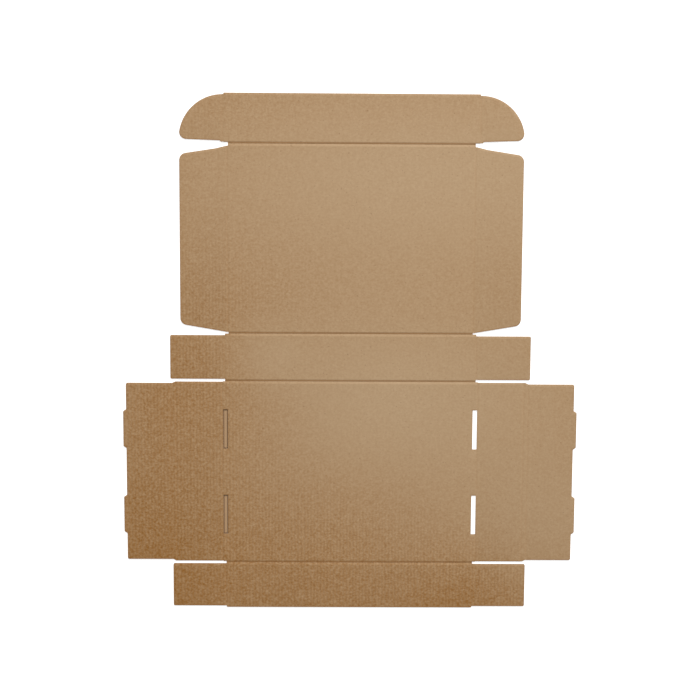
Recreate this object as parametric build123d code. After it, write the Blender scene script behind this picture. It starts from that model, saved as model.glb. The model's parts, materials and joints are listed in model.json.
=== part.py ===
from build123d import *
import os
from math import radians, tan

# Shipping box: the unfolded, die-cut blank of a corrugated mailer. It lies flat with the
# inside of the box upwards. The origin is the centre of the base panel's underside, +X is
# to the right, +Y runs from the front wall over the base and the lid to the tuck flap, and
# +Z is up. All lengths are in millimetres, and creases are measured at their centre lines.

# Board
BOARD = 1.4
CREASE_BOARD = 0.4
FOLD_PLAY = 0.02

# Box sizes, from crease to crease
BASE_WIDTH = 258.0
BASE_DEPTH = 186.5
BACK_HEIGHT = 48.2

# Clearances of the folded box
PLY_GAP = 0.05
LID_GAP = 0.1
BASE_GAP = 0.15
FRONT_GAP = 0.7
TUCK_GAP = 0.1
SLOT_GAP = 0.35

# Side walls, their rolled-over inner walls and the lock tabs
SIDE_WALL_INSET = 1.15
INNER_WALL_INSET = 2.65
INNER_WALL_CORNER = 1.8
TAB_LENGTH = 3.0
TAB_WIDTH = 39.6
TAB_TAPER = 2.0
TAB_CORNER = 0.9
TAB_SPACING = 87.8
SLOT_END_GAP = 0.3

# Dust flaps at the ends of the back wall and the front wall
BACK_DUST_LENGTH = 54.2
FRONT_DUST_LENGTH = 53.4
DUST_FOOT_GAP = 1.75
DUST_CORNER = 1.5

# Side flaps of the lid
LID_FLAP_REAR_GAP = 1.0
LID_FLAP_REAR_ANGLE = 9.6
LID_FLAP_KINK = 11.6
LID_FLAP_KINK_DROP = 2.65
LID_FLAP_FRONT_ANGLE = 8.8
LID_FLAP_CORNER = 7.0

# Tuck flap and its ears
TUCK_CORNER = 0.8
EAR_RADIUS = 43.4
EAR_ROOT_GAP = 1.0
EAR_SHOULDER_GAP = 0.15
EAR_EDGE_ANGLE = 2.0
EAR_CORNER = 7.0
FRONT_WALL_CORNER = 1.0

# A crease is a gap in the board, bridged on the outer face by a thin crushed strip. The
# gap is as wide as the board is thick, so that the next panel clears it at a right angle.
half_board = BOARD / 2
crease_edge = half_board + FOLD_PLAY
ply = BOARD + PLY_GAP

# Layers of the closed box, from the outer side wall inwards, as crease positions in X
wall_x = BASE_WIDTH / 2
ear_x = wall_x - ply
front_dust_x = ear_x - ply
inner_wall_x = front_dust_x - ply
lid_x = inner_wall_x - ply
back_dust_x = (ear_x + front_dust_x) / 2

# Heights of the folded walls: the rims and the front wall stop under the lid, and the
# inner walls, the lid's side flaps and the ears stop just above the base
side_height = BACK_HEIGHT - BOARD - LID_GAP
rim_width = wall_x - inner_wall_x
inner_height = side_height - half_board - BASE_GAP
front_height = BACK_HEIGHT - half_board - LID_GAP
lid_axis_height = BACK_HEIGHT + half_board
lid_flap_length = lid_axis_height - BOARD - BASE_GAP
dust_height = side_height - half_board - LID_GAP
tuck_height = lid_axis_height - TUCK_GAP
lid_depth = BASE_DEPTH + BOARD + FRONT_GAP

# Crease positions in the flat sheet
rim_outer_x = wall_x + side_height
rim_inner_x = rim_outer_x + rim_width
free_edge_x = rim_inner_x + inner_height
back_y = BASE_DEPTH / 2
front_y = -BASE_DEPTH / 2
lid_y = back_y + BACK_HEIGHT
tuck_y = lid_y + lid_depth
side_end_y = back_y - SIDE_WALL_INSET
inner_end_y = back_y - INNER_WALL_INSET


def outline(*points):
    """A flat outline through points, in the plane of the sheet."""
    return make_face(Polyline(*points, close=True))


def rectangle(x_low, x_high, y_low, y_high):
    """A flat rectangle between two X and two Y values."""
    return outline((x_low, y_low), (x_high, y_low), (x_high, y_high), (x_low, y_high))


def strip(x_low, x_high, y_low, y_high):
    """The crushed board along a crease, on the outer face of the sheet."""
    return extrude(rectangle(x_low, x_high, y_low, y_high), CREASE_BOARD)


def crease_in_x(x, y_low, y_high):
    """Crushed strip of a crease that runs along Y at x."""
    return strip(x - crease_edge, x + crease_edge, y_low, y_high)


def crease_in_y(y, x_half):
    """Crushed strip of a crease that runs along X at y, as wide as the narrower panel."""
    return strip(-x_half, x_half, y - crease_edge, y + crease_edge)


def mirrored(solid):
    """The same solid on the other side of the box."""
    return mirror(solid, about=Plane.YZ)


def both_sides(solid):
    """A solid and its mirror image."""
    return [solid, mirrored(solid)]


def board(flat, *strips):
    """A panel cut from board, with the crushed strips that join the next panels to it."""
    panel = extrude(flat, BOARD)
    for crushed in strips:
        panel += crushed
    return panel


def rounded(flat, corners, radius):
    """The outline with the vertices nearest to the given corners rounded."""
    chosen = [flat.vertices().sort_by_distance(corner)[0] for corner in corners]
    return fillet(chosen, radius)


def dust_flap(crease, length, y_foot, y_top):
    """Dust flap on the right: its foot clears the base and its top clears the rim."""
    root = crease + crease_edge
    tip = crease + length
    flat = rectangle(root, tip, min(y_foot, y_top), max(y_foot, y_top))
    return board(rounded(flat, [(tip, y_foot), (tip, y_top)], DUST_CORNER))


# Base panel, with a slot for each lock tab just inside the side creases
tab_centres = [-TAB_SPACING / 2, TAB_SPACING / 2]
slot_inner_x = inner_wall_x - half_board - SLOT_GAP
slot_half_length = TAB_WIDTH / 2 + SLOT_END_GAP
base_edge_x = wall_x - crease_edge
base_flat = rectangle(-base_edge_x, base_edge_x, front_y + crease_edge, back_y - crease_edge)
for centre in tab_centres:
    slot = rectangle(slot_inner_x, base_edge_x, centre - slot_half_length, centre + slot_half_length)
    base_flat -= [slot, mirrored(slot)]
back_half_x = back_dust_x - crease_edge
front_half_x = front_dust_x - crease_edge
base_panel = board(
    base_flat,
    crease_in_y(back_y, back_half_x),
    crease_in_y(front_y, front_half_x),
    *both_sides(crease_in_x(wall_x, -side_end_y, side_end_y)),
)

# Outer side wall, the rim over its top and the inner wall with its lock tabs
side_wall = board(
    rectangle(wall_x + crease_edge, rim_outer_x - crease_edge, -side_end_y, side_end_y),
    crease_in_x(rim_outer_x, -side_end_y, side_end_y),
)
rim_low_x = rim_outer_x + crease_edge
rim_high_x = rim_inner_x - crease_edge
rim = board(
    outline(
        (rim_low_x, -side_end_y),
        (rim_high_x, -inner_end_y),
        (rim_high_x, inner_end_y),
        (rim_low_x, side_end_y),
    ),
    crease_in_x(rim_inner_x, -inner_end_y, inner_end_y),
)
inner_flat = rounded(
    rectangle(rim_inner_x + crease_edge, free_edge_x, -inner_end_y, inner_end_y),
    [(free_edge_x, -inner_end_y), (free_edge_x, inner_end_y)],
    INNER_WALL_CORNER,
)
for centre in tab_centres:
    tip_x = free_edge_x + TAB_LENGTH
    root_half = TAB_WIDTH / 2
    tip_half = root_half - TAB_TAPER
    tab = outline(
        (free_edge_x, centre - root_half),
        (tip_x, centre - tip_half),
        (tip_x, centre + tip_half),
        (free_edge_x, centre + root_half),
    )
    inner_flat += rounded(tab, [(tip_x, centre - tip_half), (tip_x, centre + tip_half)], TAB_CORNER)
inner_wall = board(inner_flat)

# Back wall and front wall, each with a dust flap at both ends
dust_foot_y = back_y + DUST_FOOT_GAP
dust_top_y = back_y + dust_height
back_wall = board(
    rectangle(-back_half_x, back_half_x, back_y + crease_edge, lid_y - crease_edge),
    crease_in_y(lid_y, lid_x - crease_edge),
    *both_sides(crease_in_x(back_dust_x, dust_foot_y, dust_top_y)),
)
front_edge_y = front_y - front_height
front_flat = rounded(
    rectangle(-front_half_x, front_half_x, front_edge_y, front_y - crease_edge),
    [(-front_half_x, front_edge_y), (front_half_x, front_edge_y)],
    FRONT_WALL_CORNER,
)
front_wall = board(
    front_flat,
    *both_sides(crease_in_x(front_dust_x, -dust_top_y, -dust_foot_y)),
)
back_dust_flap = dust_flap(back_dust_x, BACK_DUST_LENGTH, dust_foot_y, dust_top_y)
front_dust_flap = dust_flap(front_dust_x, FRONT_DUST_LENGTH, -dust_foot_y, -dust_top_y)

# Lid side flap: its ends slope in, and clear the back wall and the front wall inside
flap_root_x = lid_x + crease_edge
flap_tip_x = lid_x + lid_flap_length
flap_rear_y = lid_y + LID_FLAP_REAR_GAP
flap_front_y = tuck_y - (lid_depth - BASE_DEPTH + half_board + PLY_GAP)
flap_kink_x = lid_x + LID_FLAP_KINK
flap_kink_y = flap_front_y - LID_FLAP_KINK_DROP
flap_rear_tip_y = flap_rear_y + (flap_tip_x - flap_root_x) * tan(radians(LID_FLAP_REAR_ANGLE))
flap_front_tip_y = flap_kink_y - (flap_tip_x - flap_kink_x) * tan(radians(LID_FLAP_FRONT_ANGLE))
lid_flap = board(
    rounded(
        outline(
            (flap_root_x, flap_rear_y),
            (flap_tip_x, flap_rear_tip_y),
            (flap_tip_x, flap_front_tip_y),
            (flap_kink_x, flap_kink_y),
            (flap_root_x, flap_front_y),
        ),
        [(flap_tip_x, flap_rear_tip_y), (flap_tip_x, flap_front_tip_y)],
        LID_FLAP_CORNER,
    )
)

# Tuck ear: a quarter round that passes under the rim and over the base as the box closes
ear_root_x = ear_x + crease_edge
ear_top_y = tuck_y + lid_axis_height - BOARD - BASE_GAP
ear_root_y = tuck_y + EAR_ROOT_GAP
ear_under_rim_y = tuck_y + lid_axis_height - side_height + PLY_GAP
ear_shoulder_x = ear_x + tuck_y - lid_y - back_y - side_end_y - EAR_SHOULDER_GAP
ear_far_x = ear_x + EAR_RADIUS
ear_far_y = ear_under_rim_y + (ear_far_x - ear_shoulder_x) * tan(radians(EAR_EDGE_ANGLE))
ear_band = outline(
    (ear_root_x, ear_root_y),
    ((ear_root_x + ear_shoulder_x) / 2, ear_root_y),
    (ear_shoulder_x, ear_under_rim_y),
    (ear_far_x, ear_far_y),
    (ear_far_x, ear_top_y),
    (ear_root_x, ear_top_y),
)
ear_flat = ear_band & (Pos(ear_x, ear_top_y - EAR_RADIUS) * Circle(EAR_RADIUS))
tuck_ear = board(rounded(ear_flat, [(ear_far_x, ear_far_y)], EAR_CORNER))
ear_top_edge_y = max(vertex.Y for vertex in tuck_ear.vertices() if vertex.X < ear_root_x + FOLD_PLAY)

# Lid and tuck flap
lid_edge_x = lid_x - crease_edge
lid = board(
    rectangle(-lid_edge_x, lid_edge_x, lid_y + crease_edge, tuck_y - crease_edge),
    crease_in_y(tuck_y, lid_edge_x),
    *both_sides(crease_in_x(lid_x, flap_rear_y, flap_front_y)),
)
tuck_edge_x = ear_x - crease_edge
tuck_free_y = tuck_y + tuck_height
tuck_flat = rounded(
    rectangle(-tuck_edge_x, tuck_edge_x, tuck_y + crease_edge, tuck_free_y),
    [(-tuck_edge_x, tuck_free_y), (tuck_edge_x, tuck_free_y)],
    TUCK_CORNER,
)
tuck_flap = board(
    tuck_flat,
    *both_sides(crease_in_x(ear_x, ear_root_y, ear_top_edge_y)),
)

# One file for each panel; side panels are drawn on the right and mirrored to the left
middle_panels = {
    "base_panel": base_panel,
    "back_wall": back_wall,
    "front_wall": front_wall,
    "lid": lid,
    "tuck_flap": tuck_flap,
}
side_panels = {
    "side_wall": side_wall,
    "rim": rim,
    "inner_wall": inner_wall,
    "back_dust_flap": back_dust_flap,
    "front_dust_flap": front_dust_flap,
    "lid_flap": lid_flap,
    "tuck_ear": tuck_ear,
}

os.makedirs("parts", exist_ok=True)
for name, solid in middle_panels.items():
    export_step(solid, f"parts/{name}.step")
for name, solid in side_panels.items():
    export_step(solid, f"parts/{name}_right.step")
    export_step(mirrored(solid), f"parts/{name}_left.step")
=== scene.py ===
"""Shipping box, lying open as a die-cut blank of corrugated board, dressed round its CAD frame."""

import json
import math
from collections import namedtuple

import bmesh
import bpy
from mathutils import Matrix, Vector

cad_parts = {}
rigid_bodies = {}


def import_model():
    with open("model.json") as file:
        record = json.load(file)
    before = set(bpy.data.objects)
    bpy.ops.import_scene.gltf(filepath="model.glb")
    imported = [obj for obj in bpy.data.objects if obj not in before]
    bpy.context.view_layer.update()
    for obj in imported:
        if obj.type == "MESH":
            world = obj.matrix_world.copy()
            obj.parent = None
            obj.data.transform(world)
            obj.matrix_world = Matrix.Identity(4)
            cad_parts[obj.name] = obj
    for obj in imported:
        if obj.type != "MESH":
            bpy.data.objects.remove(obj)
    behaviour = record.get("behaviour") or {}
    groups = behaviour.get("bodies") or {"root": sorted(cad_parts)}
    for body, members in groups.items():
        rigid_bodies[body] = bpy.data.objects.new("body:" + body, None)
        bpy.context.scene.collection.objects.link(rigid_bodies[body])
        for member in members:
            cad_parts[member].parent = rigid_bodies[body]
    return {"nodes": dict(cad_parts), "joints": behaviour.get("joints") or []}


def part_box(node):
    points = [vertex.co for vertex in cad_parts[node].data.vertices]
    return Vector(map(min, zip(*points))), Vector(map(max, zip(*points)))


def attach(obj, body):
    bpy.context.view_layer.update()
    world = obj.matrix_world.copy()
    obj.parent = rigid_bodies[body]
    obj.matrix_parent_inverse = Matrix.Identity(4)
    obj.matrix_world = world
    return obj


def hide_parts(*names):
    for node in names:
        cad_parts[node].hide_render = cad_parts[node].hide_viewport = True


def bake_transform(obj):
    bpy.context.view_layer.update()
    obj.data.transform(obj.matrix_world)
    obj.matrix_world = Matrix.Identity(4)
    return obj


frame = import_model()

bpy.context.view_layer.update()

bl_info = {
    "name": "Shipping Box Blank",
    "version": (1, 0, 0),
    "blender": (4, 5, 0),
    "location": "View3D > Sidebar > Shipping Box",
    "description": "Builds the panels, creases, kraft finish and stage of an unfolded shipping box",
    "category": "Object",
}

MM = 0.001
BOARD_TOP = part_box("base_panel")[1].z

# Where a knife or a rule presses the board down, its lower liner rises by this share of that.
LIFT = 0.3

# Each edge of a panel that is longer than LONG_EDGE blends into the next ones over CORNER_BLEND.
LONG_EDGE = 8 * MM
CORNER_BLEND = 2.5 * MM
# The rings of points inside a panel's outline, as shares of the width that is pressed down.
RINGS = (0.0, 0.35, 1.0)
# An edge that moves inwards may lose this share of its length. The rate at which it gets shorter
# counts as at least LEAST_CLOSING, which stands for an edge that doesn't get shorter.
MAY_LOSE = 0.85
LEAST_CLOSING = 0.001
# A corner moves inwards along its bisector where the tangent of half its turn is below this.
SLIGHT_TURN = 0.3
# An edge faces the back or the front where its normal has more than this of Y.
FACING = 0.5
# An edge no further than this from a joint's axis lies beside its crease.
BESIDE = 1.0 * MM
# Points this near have the same height or the same X, and points nearer than MERGED are one.
SAME_PLACE = 0.01 * MM
MERGED = 0.001 * MM
# The borders between a panel's columns keep this share of a column away from its outline.
COLUMN_MARGIN = 0.02
# A face looks up where its normal has more than this of Z, and a corner that turns by less than
# NO_TURN, in radians, is left out.
LOOKS_UP = 0.99
NO_TURN = 0.0001

# Edges sharper than these stay sharp: the pressed rim of a liner, and the sides of the medium and
# of the grooves.
LINER_ANGLE = math.radians(8)
PAPER_ANGLE = math.radians(50)

# The points of a groove across it, and along it where it crosses the flutes and where it runs
# with them.
GROOVE_POINTS_ACROSS = 13
GROOVE_POINTS_PER_FLUTE = 6
GROOVE_STEP = 2 * MM
# The bottom of a groove: its waves, which each groove takes from another place in their pattern,
# and how much it is tinted, partly as rub from the rule and partly as painted shade.
WAVES_PER_METRE = 180.0
SEED_STEP = 7.31
BOTTOM_RUB_AND_SHADE = 0.6

# The large lamp looks at the middle of the blank.
KEY_AIM = (0.0, 0.12, 0.0)
# The floor lies just under the board, and the strips under the left slots just over the floor.
FLOOR_HALF = 3.0
FLOOR_HEIGHT = -0.02 * MM
STRIP_HEIGHT = -0.01 * MM
# Width of the painted shadow round each strip.
STRIP_SHADOW_WIDTH = 1.0 * MM

# The kinds of node that are used most. A Mix node takes its numbers at sockets 2 and 3, and its
# colours at 6 and 7.
MATH = "ShaderNodeMath"
VECTOR_MATH = "ShaderNodeVectorMath"
MIX = "ShaderNodeMix"
MAP_RANGE = "ShaderNodeMapRange"
NOISE = "ShaderNodeTexNoise"
NAMED_ATTRIBUTE = "GeometryNodeInputNamedAttribute"
STORE_ATTRIBUTE = "GeometryNodeStoreNamedAttribute"

MIDDLE_PANELS = ("base_panel", "back_wall", "front_wall", "lid", "tuck_flap")
SIDE_WALL_PANELS = tuple(
    f"{panel}_{side}" for panel in ("side_wall", "rim", "inner_wall") for side in ("left", "right")
)
DUST_FLAPS = tuple(
    f"{end}_dust_flap_{side}" for end in ("back", "front") for side in ("left", "right")
)
LID_FLAPS_AND_EARS = tuple(
    f"{flap}_{side}" for flap in ("lid_flap", "tuck_ear") for side in ("left", "right")
)

# How an edge of a panel is pressed: how far down, over what width, what share of that is left at
# the middle ring, and how much its paper is tinted, partly as rub and partly as painted shade.
Edge = namedtuple("Edge", "drop width middle rubbed")


def linear(code):
    """An sRGB hex colour as linear red, green and blue."""
    channels = [int(code[i : i + 2], 16) / 255 for i in (0, 2, 4)]
    return tuple(c / 12.92 if c <= 0.04045 else ((c + 0.055) / 1.055) ** 2.4 for c in channels)


def add(tree, kind, sockets=(), **settings):
    """Adds a node to a tree, with its settings. Its inputs come in order, or by name or number.
    Each is a value, a socket, a node, whose first output in use is meant, or a list of these."""
    made = tree.nodes.new(kind)
    for name, value in settings.items():
        setattr(made, name, value)
    for socket, value in sockets.items() if isinstance(sockets, dict) else enumerate(sockets):
        for one in value if isinstance(value, list) else [value]:
            if isinstance(one, bpy.types.Node):
                one = next(output for output in one.outputs if output.enabled)
            if isinstance(one, bpy.types.NodeSocket):
                tree.links.new(one, made.inputs[socket])
            else:
                made.inputs[socket].default_value = one
    return made


class BoardSizes(bpy.types.PropertyGroup):
    """Sizes of the corrugated board and of its die-cut edges."""

    flute_pitch: bpy.props.FloatProperty(
        name="Flute Pitch", description="Distance from one flute to the next",
        default=3.3 * MM, unit="LENGTH",
    )
    flute_offset: bpy.props.FloatProperty(
        name="Flute Offset", description="Place of one flute crest in X",
        default=0.4 * MM, unit="LENGTH",
    )
    paper: bpy.props.FloatProperty(
        name="Paper", description="Thickness of each of the three papers",
        default=0.2 * MM, unit="LENGTH",
    )
    washboard: bpy.props.FloatProperty(
        name="Washboard", description="How far the liner sags between two flutes",
        default=0.012 * MM, unit="LENGTH",
    )
    back_drop: bpy.props.FloatProperty(
        name="Back Edge Drop",
        description="How far the knife presses down an edge that faces the back",
        default=0.5 * MM, unit="LENGTH",
    )
    back_width: bpy.props.FloatProperty(
        name="Back Edge Width", description="Width of board that the knife presses down there",
        default=2.2 * MM, unit="LENGTH",
    )
    front_drop: bpy.props.FloatProperty(
        name="Front Edge Drop",
        description="How far the knife presses down an edge that faces the front",
        default=0.14 * MM, unit="LENGTH",
    )
    side_drop: bpy.props.FloatProperty(
        name="Side Edge Drop",
        description="How far the knife presses down an edge that faces a side",
        default=0.24 * MM, unit="LENGTH",
    )
    knife_width: bpy.props.FloatProperty(
        name="Knife Width",
        description="Width of board that the knife presses down at the front and sides",
        default=1.5 * MM, unit="LENGTH",
    )
    steps_per_flute: bpy.props.IntProperty(
        name="Steps per Flute", description="Mesh columns in one flute", default=8, min=4
    )


class CreaseSizes(bpy.types.PropertyGroup):
    """Sizes of the scored grooves along the folds."""

    half_width: bpy.props.FloatProperty(
        name="Half Width", description="Half the gap between two panels",
        default=0.72 * MM, unit="LENGTH",
    )
    tuck_under: bpy.props.FloatProperty(
        name="Tuck Under", description="How far the groove runs in under the panels' liner",
        default=0.1 * MM, unit="LENGTH",
    )
    back_drop: bpy.props.FloatProperty(
        name="Back Shoulder Drop",
        description="How far the panel behind a groove across the flutes is pressed down",
        default=0.35 * MM, unit="LENGTH",
    )
    back_width: bpy.props.FloatProperty(
        name="Back Shoulder Width", description="Width of board that is pressed down there",
        default=0.9 * MM, unit="LENGTH",
    )
    front_drop: bpy.props.FloatProperty(
        name="Front Shoulder Drop",
        description="How far the panel in front of such a groove is pressed down",
        default=0.58 * MM, unit="LENGTH",
    )
    front_width: bpy.props.FloatProperty(
        name="Front Shoulder Width", description="Width of board that is pressed down there",
        default=2.1 * MM, unit="LENGTH",
    )
    across_floor: bpy.props.FloatProperty(
        name="Floor across Flutes",
        description="Board left under a groove that crosses the flutes",
        default=0.6 * MM, unit="LENGTH",
    )
    across_shift: bpy.props.FloatProperty(
        name="Shift across Flutes",
        description="How far the lowest line of such a groove lies to the front",
        default=0.78 * MM, unit="LENGTH",
    )
    along_drop: bpy.props.FloatProperty(
        name="Shoulder Drop along Flutes",
        description="How far a panel is pressed down beside the groove",
        default=0.08 * MM, unit="LENGTH",
    )
    along_width: bpy.props.FloatProperty(
        name="Shoulder Width along Flutes",
        description="Width of board that is pressed down beside the groove",
        default=1.1 * MM, unit="LENGTH",
    )
    along_floor: bpy.props.FloatProperty(
        name="Floor along Flutes",
        description="Board left under a groove that runs with the flutes",
        default=1.22 * MM, unit="LENGTH",
    )
    ripple: bpy.props.FloatProperty(
        name="Ripple", description="Height of the crushed flutes in the groove",
        default=0.03 * MM, unit="LENGTH",
    )


class KraftColours(bpy.types.PropertyGroup):
    """Colours of the brown papers."""

    liner_warm: bpy.props.FloatVectorProperty(
        name="Liner Warm", description="Liner where it is warmest and darkest",
        subtype="COLOR", size=3, min=0, max=1, default=linear("997041"),
    )
    liner_pale: bpy.props.FloatVectorProperty(
        name="Liner Pale", description="Liner where it is palest",
        subtype="COLOR", size=3, min=0, max=1, default=linear("B1936F"),
    )
    speck: bpy.props.FloatVectorProperty(
        name="Speck", description="Dark specks of bark in the pulp",
        subtype="COLOR", size=3, min=0, max=1, default=linear("74512C"),
    )
    medium: bpy.props.FloatVectorProperty(
        name="Medium", description="Fluted paper between the liners",
        subtype="COLOR", size=3, min=0, max=1, default=linear("8F6B45"),
    )
    cut: bpy.props.FloatVectorProperty(
        name="Cut", description="Cut edges of the papers",
        subtype="COLOR", size=3, min=0, max=1, default=linear("8A6238"),
    )
    # This tint is also painted shade: on edges that face away from the lamp, and on the back wall
    # and bottom of each groove.
    rub_and_shade_tint: bpy.props.FloatVectorProperty(
        name="Bruise", description="Liner that a knife or a scoring rule has rubbed",
        subtype="COLOR", size=3, min=0, max=1, default=linear("8C5C22"),
    )
    under_slots: bpy.props.FloatVectorProperty(
        name="Under Slots", description="Brown on the floor below the left slots",
        subtype="COLOR", size=3, min=0, max=1, default=linear("B08E69"),
    )
    # The dark line round the strips under the slots is a painted shadow of the slots' edges.
    slot_painted_shadow: bpy.props.FloatVectorProperty(
        name="Slot Rim", description="Dark line round that brown",
        subtype="COLOR", size=3, min=0, max=1, default=linear("3A1A04"),
    )


class StageSizes(bpy.types.PropertyGroup):
    """Camera, lamps and floor."""

    camera_place: bpy.props.FloatVectorProperty(
        name="Camera Place", description="Where the camera stands",
        subtype="TRANSLATION", unit="LENGTH", default=(-17.66 * MM, 284.79 * MM, 1397.7 * MM),
    )
    camera_turn: bpy.props.FloatVectorProperty(
        name="Camera Turn", description="How the camera is turned",
        subtype="EULER", unit="ROTATION",
        default=(math.radians(-6.539), math.radians(-0.655), math.radians(0.347)),
    )
    lens: bpy.props.FloatProperty(
        name="Lens", description="Focal length in millimetres on a 36 mm sensor", default=72.0
    )
    key_place: bpy.props.FloatVectorProperty(
        name="Key Place", description="Where the large soft lamp stands",
        subtype="TRANSLATION", unit="LENGTH", default=(0.9, 3.0, 2.6),
    )
    key_power: bpy.props.FloatProperty(
        name="Key Power", description="Power of the large soft lamp in watts", default=130.0
    )
    key_size: bpy.props.FloatProperty(
        name="Key Size", description="Side of the large soft lamp", default=1.1, unit="LENGTH"
    )
    room_light: bpy.props.FloatProperty(
        name="Room Light", description="Brightness of the plain room around the box", default=0.42
    )
    floor_white: bpy.props.FloatProperty(
        name="Floor White", description="How light the white of the floor's own paint is",
        default=0.85,
    )
    floor_glow: bpy.props.FloatProperty(
        name="Floor Glow", description="Light that the floor adds where it is seen directly",
        default=0.6,
    )


SETTINGS = {
    "box_board": BoardSizes,
    "box_creases": CreaseSizes,
    "box_colours": KraftColours,
    "box_stage": StageSizes,
}


# The liner's tone drifts over the sheet, and these patches paint light and shade into it: the paler
# patches, towards the top, the middle and the right where the lamp stands, are painted light and
# sheen, and the darker ones, on the left and towards the front, are painted soft shade, with only a
# little of the paper's own tone. Each patch is its middle in X and Y, its reach in X and Y, in
# metres, and how much paler it is than the rest, or warmer and darker where it is negative.
TONE_AND_PAINTED_LIGHT_PATCHES = (
    (-0.15, 0.08, 0.11, 0.09, -0.67),
    (0.08, 0.30, 0.35, 0.13, 0.91),
    (0.22, -0.06, 0.16, 0.08, 0.60),
    (-0.02, 0.07, 0.35, 0.105, 0.95),
    (-0.20, -0.14, 0.06, 0.24, -0.24),
    (-0.085, 0.12, 0.04, 0.035, 0.30),
    (0.12, -0.14, 0.05, 0.065, -0.28),
)
TONE_REST = 0.08

# Sizes of the paper's patterns in millimetres. Clouds are how the pulp settled, and the grain is
# its finer clots of 1 to 2 mm. Fibres are 3 mm long and 0.04 mm thick, but are drawn 0.7 mm thick,
# so that they show. The stretch draws them long in X and thin in Y.
CLOUD_SIZE = 14
GRAIN_SIZE = 2.2
FIBRE_SIZE = 1.1
FIBRE_STRETCH = (0.35, 1.5, 1.0)
SPECK_SIZE = 1.9
# Height of the grain's relief.
RELIEF = 0.04 * MM

# How strong the patterns are. Each range is two tones, or two amounts, and the strengths at them.
# The grain and the stripes over the flutes are stronger where the tone is dark, where most shade is
# painted. The stripes are partly glue on the flute tips and partly painted shade of the washboard.
CLOUD_DRIFT = 0.1
FIBRE_SHARE = 0.5
GRAIN_TO_TONE = 1.9
GRAIN_TO_SHADE = 0.3
GRAIN_RANGE = (0.1, 0.9, 0.88, 0.28)
STRIPE_RANGE = (0.3, 0.72, -0.054, -0.005)
SPECK_RANGE = (0.70, 0.78, 0.0, 0.4)
# Tint for rub and painted shade.
RUB_AND_SHADE_RANGE = (0.1, 1.0, 0.0, 0.55)


def flute_wave(tree, place, offset, pitch):
    """The flutes' wave at a place: 1 over each crest and -1 between two."""
    along = add(tree, "ShaderNodeSeparateXYZ", (place,)).outputs[0]
    from_crest = add(tree, MATH, (along, offset), operation="SUBTRACT")
    turns = add(tree, MATH, (from_crest, pitch), operation="DIVIDE")
    angle = add(tree, MATH, (turns, math.tau), operation="MULTIPLY")
    return add(tree, MATH, (angle,), operation="COSINE")


def liner_tone_and_painted_light(tree, place):
    """How pale the liner is at a place, partly its own tone and partly painted light and shade: 0
    where it is warm and dark, 1 where it is palest.
    """
    tone = TONE_REST
    for middle_x, middle_y, reach_x, reach_y, amount in TONE_AND_PAINTED_LIGHT_PATCHES:
        away = add(tree, VECTOR_MATH, (place, (middle_x, middle_y, 0.0)), operation="SUBTRACT")
        away = add(tree, VECTOR_MATH, (away, (1 / reach_x, 1 / reach_y, 0.0)), operation="MULTIPLY")
        square = add(tree, VECTOR_MATH, (away, away), operation="DOT_PRODUCT")
        fall = add(tree, MATH, (square, -1.0), operation="MULTIPLY")
        fall = add(tree, MATH, (fall,), operation="EXPONENT")
        tone = add(tree, MATH, (fall, amount, tone), operation="MULTIPLY_ADD")
    return tone


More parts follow.
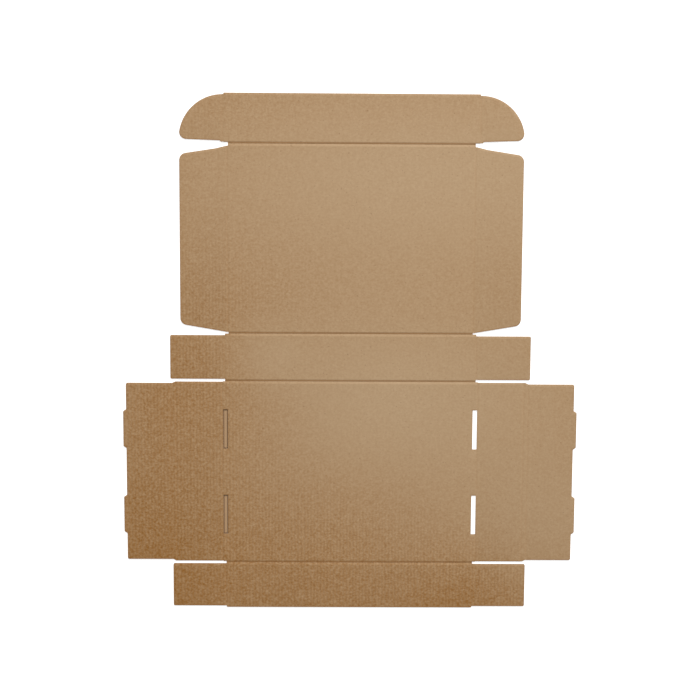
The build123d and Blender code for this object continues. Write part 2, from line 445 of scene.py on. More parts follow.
def kraft_paper(name, warm, pale, speck, rub_and_shade_tint, stripes):
    """Unbleached kraft paper, rolled and uncoated: a matt brown whose tone drifts over the sheet,
    with painted light and painted shade in that drift, a fine cloudy grain that is stronger where
    it is dark, small specks of bark, and faint stripes over the flutes that are partly painted
    shade."""
    material = bpy.data.materials.new(name)
    material.use_nodes = True
    tree = material.node_tree
    tree.nodes.clear()
    board = bpy.context.scene.box_board
    place = add(tree, "ShaderNodeTexCoord").outputs["Object"]
    millimetres = add(tree, VECTOR_MATH, {"Vector": place, "Scale": 1 / MM}, operation="SCALE")
    along = add(tree, VECTOR_MATH, (millimetres, FIBRE_STRETCH), operation="MULTIPLY")
    clouds, grain, fibres, specks = (
        add(tree, NOISE, {"Vector": at, "Scale": 1 / size, "Detail": detail, "Roughness": rough})
        for at, size, detail, rough in (
            (millimetres, CLOUD_SIZE, 2.0, 0.5),
            (millimetres, GRAIN_SIZE, 2.0, 0.55),
            (along, FIBRE_SIZE, 3.0, 0.5),
            (millimetres, SPECK_SIZE, 1.0, 0.5),
        )
    )
    drift = add(tree, MATH, (clouds, 0.5), operation="SUBTRACT")
    # The tone holds the painted light and shade of the patches as well as the clouds' drift.
    tone = add(tree, MATH, (drift, CLOUD_DRIFT, liner_tone_and_painted_light(tree, place)), operation="MULTIPLY_ADD")
    coarse = add(tree, MAP_RANGE, (tone, *GRAIN_RANGE))
    clots = add(tree, MATH, (grain, 0.5), operation="SUBTRACT")
    clots = add(tree, MATH, (clots, coarse), operation="MULTIPLY")
    threads = add(tree, MATH, (fibres, 0.5), operation="SUBTRACT")
    threads_share = add(tree, MATH, (coarse, FIBRE_SHARE), operation="MULTIPLY")
    clots = add(tree, MATH, (threads, threads_share, clots), operation="MULTIPLY_ADD")
    # The grain turns the paper warmer and paler more than it turns it darker and lighter.
    toned = add(tree, MATH, (clots, GRAIN_TO_TONE, tone), operation="MULTIPLY_ADD")
    colour = add(tree, MIX, {0: toned, 6: (*warm, 1), 7: (*pale, 1)},
                 data_type="RGBA", clamp_factor=False)
    # These stripes are partly painted shade of the washboard ribs, deeper where the tone is dark.
    stripe = flute_wave(tree, place, board.flute_offset, board.flute_pitch)
    depth = add(tree, MAP_RANGE, (tone, *STRIPE_RANGE))
    depth = add(tree, MATH, (depth, stripes), operation="MULTIPLY")
    shade = add(tree, MATH, (stripe, depth, 1.0), operation="MULTIPLY_ADD")
    shade = add(tree, MATH, (clots, GRAIN_TO_SHADE, shade), operation="MULTIPLY_ADD")
    colour = add(tree, VECTOR_MATH, {"Vector": colour, "Scale": shade}, operation="SCALE")
    # Knives and scoring rules rub the paper, which turns it a warmer brown, and the same tint is
    # painted shade on edges that face away from the lamp, in the grooves and round the strips under
    # the slots. Each point of the mesh says how much.
    rubbed = add(tree, "ShaderNodeAttribute", attribute_name="knife").outputs["Fac"]
    for amount, limits, tint in ((specks, SPECK_RANGE, speck), (rubbed, RUB_AND_SHADE_RANGE, rub_and_shade_tint)):
        share = add(tree, MAP_RANGE, (amount, *limits))
        colour = add(tree, MIX, {0: share, 6: colour, 7: (*tint, 1)},
                     data_type="RGBA", clamp_factor=False)
    relief = add(tree, MATH, (grain, fibres), operation="ADD")
    bump = add(tree, "ShaderNodeBump", {"Height": relief, "Distance": RELIEF, "Strength": 0.4})
    paper = add(tree, "ShaderNodeBsdfPrincipled",
                {"Base Color": colour, "Roughness": 0.72, "IOR": 1.5, "Normal": bump})
    add(tree, "ShaderNodeOutputMaterial", (paper,))
    return material


def kraft_finishes():
    """The finishes of the liners, the fluted medium and the cut edges, made once."""
    names = ("kraft_liner", "fluting_medium", "knife_cut_paper")
    if names[0] not in bpy.data.materials:
        colours = bpy.context.scene.box_colours
        warm, pale = tuple(colours.liner_warm), tuple(colours.liner_pale)
        medium, cut = tuple(colours.medium), tuple(colours.cut)
        speck, rub_and_shade_tint = tuple(colours.speck), tuple(colours.rub_and_shade_tint)
        # The liners drift between two browns, a drift that also paints light and shade, and show
        # the stripes of the flutes. The medium is one duller brown, and the cut edges drift from
        # that to a darker one, where the fibres end, with the same painted light and shade.
        kraft_paper(names[0], warm, pale, speck, rub_and_shade_tint, 1.0)
        kraft_paper(names[1], medium, medium, speck, rub_and_shade_tint, 0.0)
        kraft_paper(names[2], cut, medium, speck, rub_and_shade_tint, 0.0)
    return [bpy.data.materials[name] for name in names]


def new_tree(name, floats, others):
    """An empty Geometry Nodes tree with its named inputs, and the outputs of its input node."""
    tree = bpy.data.node_groups.new(name, "GeometryNodeTree")
    tree.interface.new_socket("Geometry", in_out="INPUT", socket_type="NodeSocketGeometry")
    for label in floats:
        tree.interface.new_socket(label, in_out="INPUT", socket_type="NodeSocketFloat")
    for label, kind in others:
        tree.interface.new_socket(label, in_out="INPUT", socket_type=kind)
    tree.interface.new_socket("Geometry", in_out="OUTPUT", socket_type="NodeSocketGeometry")
    return tree, add(tree, "NodeGroupInput").outputs


def closed_sheet(tree, flat, thickness):
    """A flat mesh given a thickness and a lower side, and the selection of its cut sides."""
    raised = add(tree, "GeometryNodeExtrudeMesh",
                 {"Mesh": flat, "Offset Scale": thickness, "Individual": False})
    under = add(tree, "GeometryNodeFlipFaces", (flat,))
    both = add(tree, "GeometryNodeJoinGeometry", {0: [raised, under]})
    closed = add(tree, "GeometryNodeMergeByDistance", {"Geometry": both, "Distance": MERGED})
    return closed, raised.outputs["Side"]


def shaded(tree, mesh, angle):
    """Smooth shading, with edges sharper than an angle left sharp."""
    smooth = add(tree, "GeometryNodeSetShadeSmooth", {0: mesh, 2: True}, domain="FACE")
    found = add(tree, "GeometryNodeInputMeshEdgeAngle")
    sharp = add(tree, "FunctionNodeCompare", (found, angle),
                data_type="FLOAT", operation="GREATER_THAN")
    return add(tree, "GeometryNodeSetShadeSmooth", {0: smooth, 1: sharp, 2: False}, domain="EDGE")


def lifted(tree, mesh, height):
    """A mesh moved up by a height that may differ from point to point."""
    offset = add(tree, "ShaderNodeCombineXYZ", {2: height})
    return add(tree, "GeometryNodeSetPosition", {"Geometry": mesh, "Offset": offset})


def corrugated_tree():
    """Turns a panel's flat sheet, cut into columns, into two ribbed liners with the fluted medium
    between them."""
    name = "corrugated_board"
    if name in bpy.data.node_groups:
        return bpy.data.node_groups[name]
    tree, inputs = new_tree(
        name,
        ("Flute Pitch", "Flute Offset", "Board", "Paper", "Washboard"),
        tuple((label, "NodeSocketMaterial") for label in ("Liner", "Medium", "Cut")),
    )
    paper, board = inputs["Paper"], inputs["Board"]
    wave = flute_wave(tree, add(tree, "GeometryNodeInputPosition"), inputs["Flute Offset"],
                      inputs["Flute Pitch"])
    pressed = add(tree, NAMED_ATTRIBUTE, {"Name": "pressed"}, data_type="FLOAT")
    pressed = add(tree, MATH, (pressed, 0.0), operation="MAXIMUM")
    sheet, sides = closed_sheet(tree, inputs["Geometry"], paper)

    # The upper liner hangs from the crests, and the lower one is pulled up between them.
    sag = add(tree, MATH, (inputs["Washboard"], 0.5), operation="MULTIPLY")
    below_crest = add(tree, MATH, (1.0, wave), operation="SUBTRACT")
    upper_sag = add(tree, MATH, (sag, below_crest), operation="MULTIPLY")
    inner_board = add(tree, MATH, (board, paper), operation="SUBTRACT")
    upper = add(tree, MATH, (inner_board, upper_sag), operation="SUBTRACT")
    upper = add(tree, MATH, (upper, pressed), operation="SUBTRACT")
    above_trough = add(tree, MATH, (1.0, wave), operation="ADD")
    lower_sag = add(tree, MATH, (sag, above_trough), operation="MULTIPLY")
    lower = add(tree, MATH, (pressed, LIFT, lower_sag), operation="MULTIPLY_ADD")
    liners = [shaded(tree, lifted(tree, sheet, height), LINER_ANGLE) for height in (upper, lower)]

    # The medium swings between the liners, and less where the board is pressed.
    middle = add(tree, MATH, (inner_board, 0.5), operation="MULTIPLY")
    middle = add(tree, MATH, (pressed, -(1 - LIFT) / 2, middle), operation="MULTIPLY_ADD")
    papers = add(tree, MATH, (paper, -1.5), operation="MULTIPLY")
    swing = add(tree, MATH, (board, 0.5, papers), operation="MULTIPLY_ADD")
    swing = add(tree, MATH, (pressed, -(1 + LIFT) / 2, swing), operation="MULTIPLY_ADD")
    height = add(tree, MATH, (wave, swing, middle), operation="MULTIPLY_ADD")
    fluted = shaded(tree, lifted(tree, sheet, height), PAPER_ANGLE)
    fluted = add(tree, STORE_ATTRIBUTE, {"Geometry": fluted, "Name": "is_medium", "Value": True},
                 data_type="BOOLEAN", domain="FACE")

    whole = add(tree, "GeometryNodeJoinGeometry", {0: [*liners, fluted]})
    whole = add(tree, "GeometryNodeRealizeInstances", (whole,))
    is_medium = add(tree, NAMED_ATTRIBUTE, {"Name": "is_medium"}, data_type="BOOLEAN")
    for chosen, material in ((True, "Liner"), (is_medium, "Medium"), (sides, "Cut")):
        whole = add(tree, "GeometryNodeSetMaterial",
                    {"Geometry": whole, "Selection": chosen, "Material": inputs[material]})
    add(tree, "NodeGroupOutput", (whole,))
    return tree


def crease_tree():
    """Makes one scored groove: a thin closed strip whose upper side dips between two panels."""
    name = "scored_crease"
    if name in bpy.data.node_groups:
        return bpy.data.node_groups[name]
    tree, inputs = new_tree(
        name,
        ("Flute Pitch", "Flute Offset", "Board", "Length", "Width", "Back", "Front", "Floor",
         "Shift", "Ripple", "Rub", "Turn"),
        (("Place", "NodeSocketVector"), ("Points Along", "NodeSocketInt"),
         ("Points Across", "NodeSocketInt"), ("Seed", "NodeSocketInt"),
         ("Liner", "NodeSocketMaterial")),
    )
    grid = add(tree, "GeometryNodeMeshGrid", {
        "Size X": inputs["Length"], "Size Y": inputs["Width"],
        "Vertices X": inputs["Points Along"], "Vertices Y": inputs["Points Across"],
    })
    strip, _ = closed_sheet(tree, grid, inputs["Front"])
    place = add(tree, "GeometryNodeInputPosition")
    x, y, z = add(tree, "ShaderNodeSeparateXYZ", (place,)).outputs

    # The groove's lowest line is shifted to the front, and both its sides rise smoothly from it.
    half = add(tree, MATH, (inputs["Width"], 0.5), operation="MULTIPLY")
    outwards = add(tree, MATH, (y,), operation="ABSOLUTE")
    outwards = add(tree, MATH, (outwards, half), operation="DIVIDE")
    inside = add(tree, MATH, (1.0, outwards), operation="SUBTRACT")
    shifted = add(tree, MATH, (inside, inputs["Shift"], y), operation="MULTIPLY_ADD")
    across = add(tree, MATH, (shifted,), operation="ABSOLUTE")
    across = add(tree, MATH, (across, half), operation="DIVIDE")
    rise = add(tree, MAP_RANGE, (across, 0.0, 1.0, 0.0, 1.0), interpolation_type="SMOOTHSTEP")
    behind = add(tree, MATH, (shifted, 0.0), operation="GREATER_THAN")
    shoulder = add(tree, MIX, {0: behind, 2: inputs["Front"], 3: inputs["Back"]}, data_type="FLOAT")
    depth = add(tree, MATH, (shoulder, inputs["Floor"]), operation="SUBTRACT")
    upper = add(tree, MATH, (rise, depth, inputs["Floor"]), operation="MULTIPLY_ADD")

    # Its bottom is wavy, and the crushed flutes show in it.
    seed = add(tree, MATH, (inputs["Seed"], SEED_STEP), operation="MULTIPLY")
    waves = add(tree, NOISE, {"Vector": place, "W": seed, "Scale": WAVES_PER_METRE, "Detail": 1.0},
                noise_dimensions="4D")
    waves = add(tree, MATH, (waves, 0.5), operation="SUBTRACT")
    waves = add(tree, MATH, (waves, inputs["Ripple"]), operation="MULTIPLY")
    fallen = add(tree, MATH, (1.0, rise), operation="SUBTRACT")
    waves = add(tree, MATH, (waves, fallen), operation="MULTIPLY")
    upper = add(tree, MATH, (upper, waves), operation="ADD")
    on_sheet = add(tree, VECTOR_MATH, (place, inputs["Place"]), operation="ADD")
    crests = flute_wave(tree, on_sheet, inputs["Flute Offset"], inputs["Flute Pitch"])
    upper = add(tree, MATH, (crests, inputs["Ripple"], upper), operation="MULTIPLY_ADD")

    # Its lower side meets those of the two panels.
    lift = add(tree, MATH, (rise, LIFT), operation="MULTIPLY")
    dropped = add(tree, MATH, (inputs["Board"], shoulder), operation="SUBTRACT")
    lower = add(tree, MATH, (lift, dropped), operation="MULTIPLY")
    half_way = add(tree, MATH, (inputs["Front"], 0.5), operation="MULTIPLY")
    is_upper = add(tree, MATH, (z, half_way), operation="GREATER_THAN")
    height = add(tree, MIX, {0: is_upper, 2: lower, 3: upper}, data_type="FLOAT")
    shape = add(tree, "ShaderNodeCombineXYZ", (x, y, height))

    # The back side and the bottom of the groove take the tint: partly rub from the scoring rule,
    # partly painted shade of the wall that faces away from the lamp.
    front_rub_and_shade = add(tree, MATH, (rise, -BOTTOM_RUB_AND_SHADE, BOTTOM_RUB_AND_SHADE), operation="MULTIPLY_ADD")
    back_rub_and_shade = add(tree, MATH, (rise, 1 - BOTTOM_RUB_AND_SHADE, BOTTOM_RUB_AND_SHADE), operation="MULTIPLY_ADD")
    rubbed = add(tree, MIX, {0: behind, 2: front_rub_and_shade, 3: back_rub_and_shade}, data_type="FLOAT")
    rubbed = add(tree, MATH, (rubbed, inputs["Rub"]), operation="MULTIPLY")
    strip = add(tree, STORE_ATTRIBUTE, {"Geometry": strip, "Name": "knife", "Value": rubbed},
                data_type="FLOAT", domain="POINT")
    strip = add(tree, "GeometryNodeSetPosition", {"Geometry": strip, "Position": shape})
    turn = add(tree, "ShaderNodeCombineXYZ", {2: inputs["Turn"]})
    strip = add(tree, "GeometryNodeTransform",
                {"Geometry": shaded(tree, strip, PAPER_ANGLE), "Translation": inputs["Place"],
                 "Rotation": turn})
    strip = add(tree, "GeometryNodeRealizeInstances", (strip,))
    strip = add(tree, "GeometryNodeSetMaterial", {"Geometry": strip, "Material": inputs["Liner"]})
    add(tree, "NodeGroupOutput", (strip,))
    return tree


def made_plain(piece, tree, values):
    """Runs a Geometry Nodes tree on a piece, with these named inputs, and keeps the result as its
    mesh. The first material slot is empty where the tree made the whole mesh, and is taken out."""
    nodes = piece.modifiers.new(tree.name, "NODES")
    nodes.node_group = tree
    for item in tree.interface.items_tree:
        if item.in_out == "INPUT" and item.name in values:
            nodes[item.identifier] = values[item.name]
    graph = bpy.context.evaluated_depsgraph_get()
    mesh = bpy.data.meshes.new_from_object(piece.evaluated_get(graph), depsgraph=graph)
    piece.modifiers.clear()
    blank, piece.data = piece.data, mesh
    bpy.data.meshes.remove(blank)
    mesh.name = piece.name
    if mesh.materials[0] is None:
        mesh.materials.pop(index=0)


def upper_outline(node):
    """The corners of a panel's upper face, in order, with the panel on the left of each edge."""
    work = bmesh.new()
    work.from_mesh(frame["nodes"][node].data)
    bmesh.ops.remove_doubles(work, verts=work.verts, dist=MERGED)
    top = [
        face for face in work.faces
        if face.normal.z > LOOKS_UP and abs(face.calc_center_median().z - BOARD_TOP) < SAME_PLACE
    ]
    follows = {}
    for face in top:
        for loop in face.loops:
            if not any(other in top for other in loop.edge.link_faces if other is not face):
                follows[loop.vert.index] = loop.link_loop_next.vert
    start = next(iter(follows))
    corners, here = [], start
    for _ in follows:
        corners.append(follows[here].co.to_2d())
        here = follows[here].index
    if here != start:
        raise RuntimeError(f"the upper face of {node} isn't one closed outline")
    work.free()
    kept = []
    befores, afters = [corners[-1], *corners[:-1]], [*corners[1:], corners[0]]
    for before, corner, after in zip(befores, corners, afters):
        bend = (corner - before).normalized().cross((after - corner).normalized())
        if abs(bend) > NO_TURN:
            kept.append(corner)
    return kept


def with_ends(corners):
    """An outline with two more points on each long edge, so that only its ends blend."""
    points = []
    for corner, after in zip(corners, [*corners[1:], corners[0]]):
        points.append(corner)
        length = (after - corner).length
        if length > LONG_EDGE:
            share = CORNER_BLEND / length
            points += [corner.lerp(after, share), after.lerp(corner, share)]
    return points


def edge_kinds(node, corners):
    """How each edge of a panel's outline is pressed and tinted, which depends on whether it is cut
    or lies beside a crease, and on which way it faces. The tint is partly rub and partly painted
    shade."""
    board, crease = bpy.context.scene.box_board, bpy.context.scene.box_creases
    kinds = []
    for corner, after in zip(corners, [*corners[1:], corners[0]]):
        facing_back = (corner.x - after.x) / (after - corner).length
        # Edges that face the front take the most tint, those at the sides less and those that face
        # the back none: painted shade, as the lamp stands behind the blank, over some rub from the
        # knife.
        if facing_back > FACING:
            kind = Edge(board.back_drop, board.back_width, middle=0.45, rubbed=0.0)
        elif facing_back < -FACING:
            kind = Edge(board.front_drop, board.knife_width, middle=0.7, rubbed=1.4)
        else:
            kind = Edge(board.side_drop, board.knife_width, middle=0.5, rubbed=0.8)
        for joint in frame["joints"]:
            along = crease_direction(joint)
            across = 1 - along
            axis = joint["pos_m"][across]
            beside = all(abs(point[across] - axis) < BESIDE for point in (corner, after))
            if node in (joint["parent"], joint["child"]) and beside:
                # Beside a groove across the flutes the panel behind takes the tint, as painted
                # shade of the groove's back wall, and the panel in front none.
                if along == 1:
                    kind = Edge(crease.along_drop, crease.along_width, middle=0.45, rubbed=0.2)
                elif corner.y > axis:
                    kind = Edge(crease.back_drop, crease.back_width, middle=0.55, rubbed=1.0)
                else:
                    kind = Edge(crease.front_drop, crease.front_width, middle=0.65, rubbed=0.0)
        kinds.append(kind)
    return kinds


def moved_in(corners, distances):
    """An outline with each edge moved inwards by its own distance."""
    count = len(corners)
    ways = [corners[(i + 1) % count] - corners[i] for i in range(count)]
    units = [way.normalized() for way in ways]
    bends = [units[i - 1].cross(units[i]) / (1 + units[i - 1].dot(units[i])) for i in range(count)]
    # An edge between two outward corners gets shorter as it moves in, and stops before it is gone.
    closing = [max(bends[i] + bends[(i + 1) % count], LEAST_CLOSING) for i in range(count)]
    reach = [MAY_LOSE * ways[i].length / closing[i] for i in range(count)]
    moved = []
    for i, corner in enumerate(corners):
        first, second = (Vector((-unit.y, unit.x)) for unit in (units[i - 1], units[i]))
        most = min(reach[i - 1], reach[i])
        one, two = min(distances[i - 1], most), min(distances[i], most)
        if abs(bends[i]) < SLIGHT_TURN:
            moved.append(corner + (first + second) * 0.5 * (one + two) / (1 + first.dot(second)))
        else:
            apart = Vector((one * second.y - two * first.y, two * first.x - one * second.x))
            moved.append(corner + apart / first.cross(second))
    return moved


def column_sheet(node):
    """A panel's flat outline with a narrow rim inside its edges, cut into columns that follow the
    flutes. Each point says how far it is pressed down, and how much its paper is tinted, partly as
    rub and partly as painted shade."""
    board = bpy.context.scene.box_board
    outline = with_ends(upper_outline(node))
    kinds = edge_kinds(node, outline)
    sheet = bmesh.new()
    layers = [sheet.verts.layers.float.new("pressed"), sheet.verts.layers.float.new("knife")]
    loops = []
    for ring in RINGS:
        amounts = []
        for kind in kinds:
            share = {RINGS[0]: 1.0, RINGS[1]: kind.middle, RINGS[2]: 0.0}[ring]
            amounts.append((share * kind.drop, share * kind.rubbed))
        loop = []
        for i, corner in enumerate(moved_in(outline, [ring * kind.width for kind in kinds])):
            point = sheet.verts.new((corner.x, corner.y, 0.0))
            for layer, one, two in zip(layers, amounts[i - 1], amounts[i]):
                point[layer] = (one + two) / 2
            loop.append(point)
        loops.append(loop)
    for outer, inner in zip(loops, loops[1:]):
        for i in range(len(outer)):
            j = (i + 1) % len(outer)
            sheet.faces.new((outer[i], outer[j], inner[j], inner[i]))
    sheet.faces.new(loops[-1])
    step = board.flute_pitch / board.steps_per_flute
    columns = [(corner.x - board.flute_offset) / step for corner in outline]
    first = math.ceil(min(columns) + COLUMN_MARGIN)
    last = math.floor(max(columns) - COLUMN_MARGIN)
    rest = sheet.verts[:] + sheet.edges[:] + sheet.faces[:]
    for k in range(first, last + 1):
        here = board.flute_offset + k * step
        cut = bmesh.ops.bisect_plane(
            sheet, geom=rest, dist=MERGED / 2, plane_co=(here, 0, 0), plane_no=(1, 0, 0)
        )
        faces = [part for part in cut["geom"] if isinstance(part, bmesh.types.BMFace)]
        beyond = here + SAME_PLACE
        faces = [face for face in faces if max(point.co.x for point in face.verts) > beyond]
        # Each point and edge comes once, in an order that is the same in each run, unlike a set's.
        points = dict.fromkeys(point for face in faces for point in face.verts)
        edges = dict.fromkeys(edge for face in faces for edge in face.edges)
        rest = [*points, *edges, *faces]
    mesh = bpy.data.meshes.new(node)
    sheet.to_mesh(mesh)
    sheet.free()
    return mesh


def add_board(node):
    """The corrugated board of one panel, in place of its CAD slab."""
    board = bpy.context.scene.box_board
    liner, medium, cut = kraft_finishes()
    piece = bpy.data.objects.new(f"{node}_board", column_sheet(node))
    piece.data.materials.append(liner)
    bpy.context.scene.collection.objects.link(piece)
    made_plain(piece, corrugated_tree(), {
        "Flute Pitch": board.flute_pitch, "Flute Offset": board.flute_offset, "Board": BOARD_TOP,
        "Paper": board.paper, "Washboard": board.washboard,
        "Liner": liner, "Medium": medium, "Cut": cut,
    })
    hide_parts(node)
    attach(piece, node)


def crease_direction(joint):
    """0 where a fold runs along X and crosses the flutes, 1 where it runs along Y with them."""
    return 0 if abs(joint["axis"][0]) > 0.5 else 1


def reach_along(node, joint, along):
    """How far a panel's edge beside a crease reaches along it, as a low and a high value."""
    across = 1 - along
    axis = joint["pos_m"][across]
    near = [point[along] for point in upper_outline(node) if abs(point[across] - axis) < BESIDE]
    return min(near), max(near)


def frame_middle(node):
    """The middle of a CAD node's box."""
    low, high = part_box(node)
    return (low + high) / 2


def add_crease(joint, seed):
    """The scored groove of one fold, between the two panels that it joins."""
    board, crease = bpy.context.scene.box_board, bpy.context.scene.box_creases
    along = crease_direction(joint)
    across = 1 - along
    reaches = [reach_along(joint[end], joint, along) for end in ("parent", "child")]
    low, high = max(reach[0] for reach in reaches), min(reach[1] for reach in reaches)
    length = high - low
    place = Vector((joint["pos_m"][0], joint["pos_m"][1], 0.0))
    place[along] = (low + high) / 2
    child, parent = frame_middle(joint["child"]), frame_middle(joint["parent"])
    side = math.copysign(1.0, child[across] - parent[across])
    top = BOARD_TOP - board.washboard
    if along == 0:
        values = {
            "Back": top - crease.back_drop, "Front": top - crease.front_drop,
            "Floor": crease.across_floor, "Shift": crease.across_shift, "Ripple": crease.ripple,
            "Rub": 1.0, "Turn": 0.0,
            "Points Along": int(length / (board.flute_pitch / GROOVE_POINTS_PER_FLUTE)),
        }
    else:
        values = {
            "Back": top - crease.along_drop, "Front": top - crease.along_drop,
            "Floor": crease.along_floor, "Shift": 0.0, "Ripple": 0.0,
            "Rub": 0.35, "Turn": math.pi / 2,
            "Points Along": int(length / GROOVE_STEP),
        }
    liner = kraft_finishes()[0]
    name = joint["name"].replace("_fold", "_crease")
    piece = bpy.data.objects.new(name, bpy.data.meshes.new("crease"))
    bpy.context.scene.collection.objects.link(piece)
    made_plain(piece, crease_tree(), values | {
        "Flute Pitch": board.flute_pitch, "Flute Offset": board.flute_offset, "Board": top,
        "Length": length, "Width": 2 * (crease.half_width + crease.tuck_under),
        "Place": tuple(place), "Points Across": GROOVE_POINTS_ACROSS, "Seed": seed, "Liner": liner,
    })
    # The edges of its two panels, on either side of the groove.
    start, end = place.copy(), place.copy()
    start[across] -= side * crease.half_width
    end[across] += side * crease.half_width
    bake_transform(piece)


class BOX_OT_add_middle_panels(bpy.types.Operator):
    """Build the base, both end walls, the lid and the tuck flap"""

    bl_idname = "box.add_middle_panels"
    bl_label = "Middle Panels"

    def execute(self, context):
        for node in MIDDLE_PANELS:
            add_board(node)
        return {"FINISHED"}


class BOX_OT_add_side_walls(bpy.types.Operator):
    """Build the side walls with their rims and rolled-over inner walls"""

    bl_idname = "box.add_side_walls"
    bl_label = "Side Walls"

    def execute(self, context):
        for node in SIDE_WALL_PANELS:
            add_board(node)
        return {"FINISHED"}


class BOX_OT_add_dust_flaps(bpy.types.Operator):
    """Build the four dust flaps"""

    bl_idname = "box.add_dust_flaps"
    bl_label = "Dust Flaps"

    def execute(self, context):
        for node in DUST_FLAPS:
            add_board(node)
        return {"FINISHED"}


class BOX_OT_add_lid_flaps(bpy.types.Operator):
    """Build the side flaps of the lid and the ears of the tuck flap"""

    bl_idname = "box.add_lid_flaps"
    bl_label = "Lid Flaps and Ears"

    def execute(self, context):
        for node in LID_FLAPS_AND_EARS:
            add_board(node)
        return {"FINISHED"}


class BOX_OT_add_creases(bpy.types.Operator):
    """Build the scored groove along each fold"""

    bl_idname = "box.add_creases"
    bl_label = "Creases"

    def execute(self, context):
        for seed, joint in enumerate(frame["joints"]):
            add_crease(joint, seed)
        return {"FINISHED"}


class BOX_OT_add_stage(bpy.types.Operator):
    """Build the white floor, the lamps and the camera"""

    bl_idname = "box.add_stage"
    bl_label = "Stage"

    def execute(self, context):
        stage = context.scene.box_stage
        add_floor(stage.floor_white, stage.floor_glow)
        add_slot_ground()
        lamp = bpy.data.lights.new("key", "AREA")
        lamp.energy = stage.key_power
        lamp.shape = "SQUARE"
        lamp.size = stage.key_size
        key = bpy.data.objects.new("key", lamp)
        key.location = stage.key_place
        aim = Vector(KEY_AIM) - Vector(stage.key_place)
        key.rotation_euler = aim.to_track_quat("-Z", "Y").to_euler()
        context.scene.collection.objects.link(key)
        add_room(stage.room_light)
        camera = bpy.data.objects.new("camera", bpy.data.cameras.new("camera"))
        camera.data.lens = stage.lens
        camera.data.sensor_width = 36.0
        camera.location = stage.camera_place
        camera.rotation_euler = stage.camera_turn
        context.scene.collection.objects.link(camera)
        context.scene.camera = camera
        context.scene.view_settings.view_transform = "Standard"
        return {"FINISHED"}


def seen_directly(tree):
    """1 for rays from the camera, a mirror or glass, 0 for the light that falls on things."""
    path = add(tree, "ShaderNodeLightPath").outputs
    seen = add(tree, MATH, (path["Is Camera Ray"], path["Is Glossy Ray"]), operation="MAXIMUM")
    return add(tree, MATH, (seen, path["Is Transmission Ray"]), operation="MAXIMUM")


def add_floor(white, glow):
    """A plain white floor that keeps the soft shadow of the board."""
    mesh = bpy.data.meshes.new("floor")
    ways = ((-1, -1), (1, -1), (1, 1), (-1, 1))
    corners = [(x * FLOOR_HALF, y * FLOOR_HALF, FLOOR_HEIGHT) for x, y in ways]
    mesh.from_pydata(corners, [], [(0, 1, 2, 3)])
    floor = bpy.data.objects.new("floor", mesh)
    bpy.context.scene.collection.objects.link(floor)
    paint = bpy.data.materials.new("white_floor")
    paint.use_nodes = True
    tree = paint.node_tree
    tree.nodes.clear()
    matt = add(tree, "ShaderNodeBsdfDiffuse", {"Color": (white, white, white, 1)})
    strength = add(tree, MATH, (seen_directly(tree), glow), operation="MULTIPLY")
    shine = add(tree, "ShaderNodeEmission", {"Strength": strength})
    both = add(tree, "ShaderNodeAddShader", (matt, shine))
    add(tree, "ShaderNodeOutputMaterial", (both,))
    mesh.materials.append(paint)


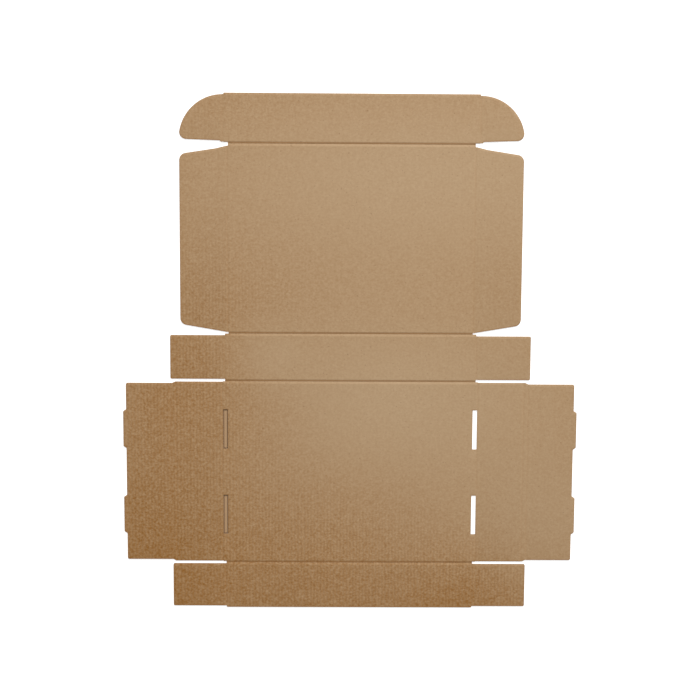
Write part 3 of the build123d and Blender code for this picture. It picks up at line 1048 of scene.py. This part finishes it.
def add_slot_ground():
    """Two strips of brown board on the floor below the left slots, each with a dark line round it,
    where the photograph shows brown and not white."""
    crease = bpy.context.scene.box_creases
    fold = next(joint for joint in frame["joints"] if joint["child"] == "side_wall_left")
    left = fold["pos_m"][0] + crease.half_width + crease.tuck_under
    slots = upper_outline("base_panel")
    right = sorted({round(point.x, 6) for point in slots})[1]
    ends = sorted(point.y for point in slots if abs(point.x - right) < SAME_PLACE)
    corners, faces, rubbed = [], [], []
    for low, high in zip(ends[::2], ends[1::2]):
        first = len(corners)
        for rim in (0.0, STRIP_SHADOW_WIDTH):
            corners += [
                (left + rim, low + rim, STRIP_HEIGHT), (right - rim, low + rim, STRIP_HEIGHT),
                (right - rim, high - rim, STRIP_HEIGHT), (left + rim, high - rim, STRIP_HEIGHT),
            ]
        faces.append(tuple(range(first + 4, first + 8)))
        for i in range(4):
            j = (i + 1) % 4
            faces.append((first + i, first + j, first + 4 + j, first + 4 + i))
        # The rim of each strip takes the dark tint, a painted shadow of the slot's edges.
        rubbed += [0.0] + [1.0] * 4
    mesh = bpy.data.meshes.new("slot_ground")
    mesh.from_pydata(corners, [], faces)
    mesh.attributes.new("knife", "FLOAT", "FACE").data.foreach_set("value", rubbed)
    ground = bpy.data.objects.new("slot_ground", mesh)
    bpy.context.scene.collection.objects.link(ground)
    colours = bpy.context.scene.box_colours
    brown, line = tuple(colours.under_slots), tuple(colours.slot_painted_shadow)
    speck = tuple(colours.speck)
    mesh.materials.append(kraft_paper("kraft_under_slots", brown, brown, speck, line, 0.0))


def add_room(brightness):
    """A plain pale room: white where it is seen, and a soft even light on the board."""
    world = bpy.data.worlds.new("room")
    world.use_nodes = True
    tree = world.node_tree
    tree.nodes.clear()
    strength = add(tree, MAP_RANGE, (seen_directly(tree), 0.0, 1.0, brightness, 1.0))
    plain = add(tree, "ShaderNodeBackground", {"Strength": strength, "Color": (1, 1, 1, 1)})
    add(tree, "ShaderNodeOutputWorld", (plain,))
    bpy.context.scene.world = world


OPERATORS = (
    BOX_OT_add_middle_panels,
    BOX_OT_add_side_walls,
    BOX_OT_add_dust_flaps,
    BOX_OT_add_lid_flaps,
    BOX_OT_add_creases,
    BOX_OT_add_stage,
)


class BOX_PT_shipping_box(bpy.types.Panel):
    """Lists the sizes and the steps of the shipping box"""

    bl_idname = "BOX_PT_shipping_box"
    bl_label = "Shipping Box"
    bl_space_type = "VIEW_3D"
    bl_region_type = "UI"
    bl_category = "Shipping Box"

    def draw(self, context):
        for name, group in SETTINGS.items():
            box = self.layout.box()
            for field in group.__annotations__:
                box.prop(getattr(context.scene, name), field)
        for operator in OPERATORS:
            self.layout.operator(operator.bl_idname)


def register():
    """Makes the settings, the operators and the panel known."""
    for name, group in SETTINGS.items():
        bpy.utils.register_class(group)
        setattr(bpy.types.Scene, name, bpy.props.PointerProperty(type=group))
    for kind in (*OPERATORS, BOX_PT_shipping_box):
        bpy.utils.register_class(kind)


def unregister():
    """Takes the panel, the operators and the settings away again."""
    for kind in (BOX_PT_shipping_box, *reversed(OPERATORS)):
        bpy.utils.unregister_class(kind)
    for name, group in reversed(SETTINGS.items()):
        delattr(bpy.types.Scene, name)
        bpy.utils.unregister_class(group)


def main():
    register()
    for operator in OPERATORS:
        group, action = operator.bl_idname.split(".")
        getattr(getattr(bpy.ops, group), action)()
    bpy.context.view_layer.update()


if __name__ == "__main__":
    main()
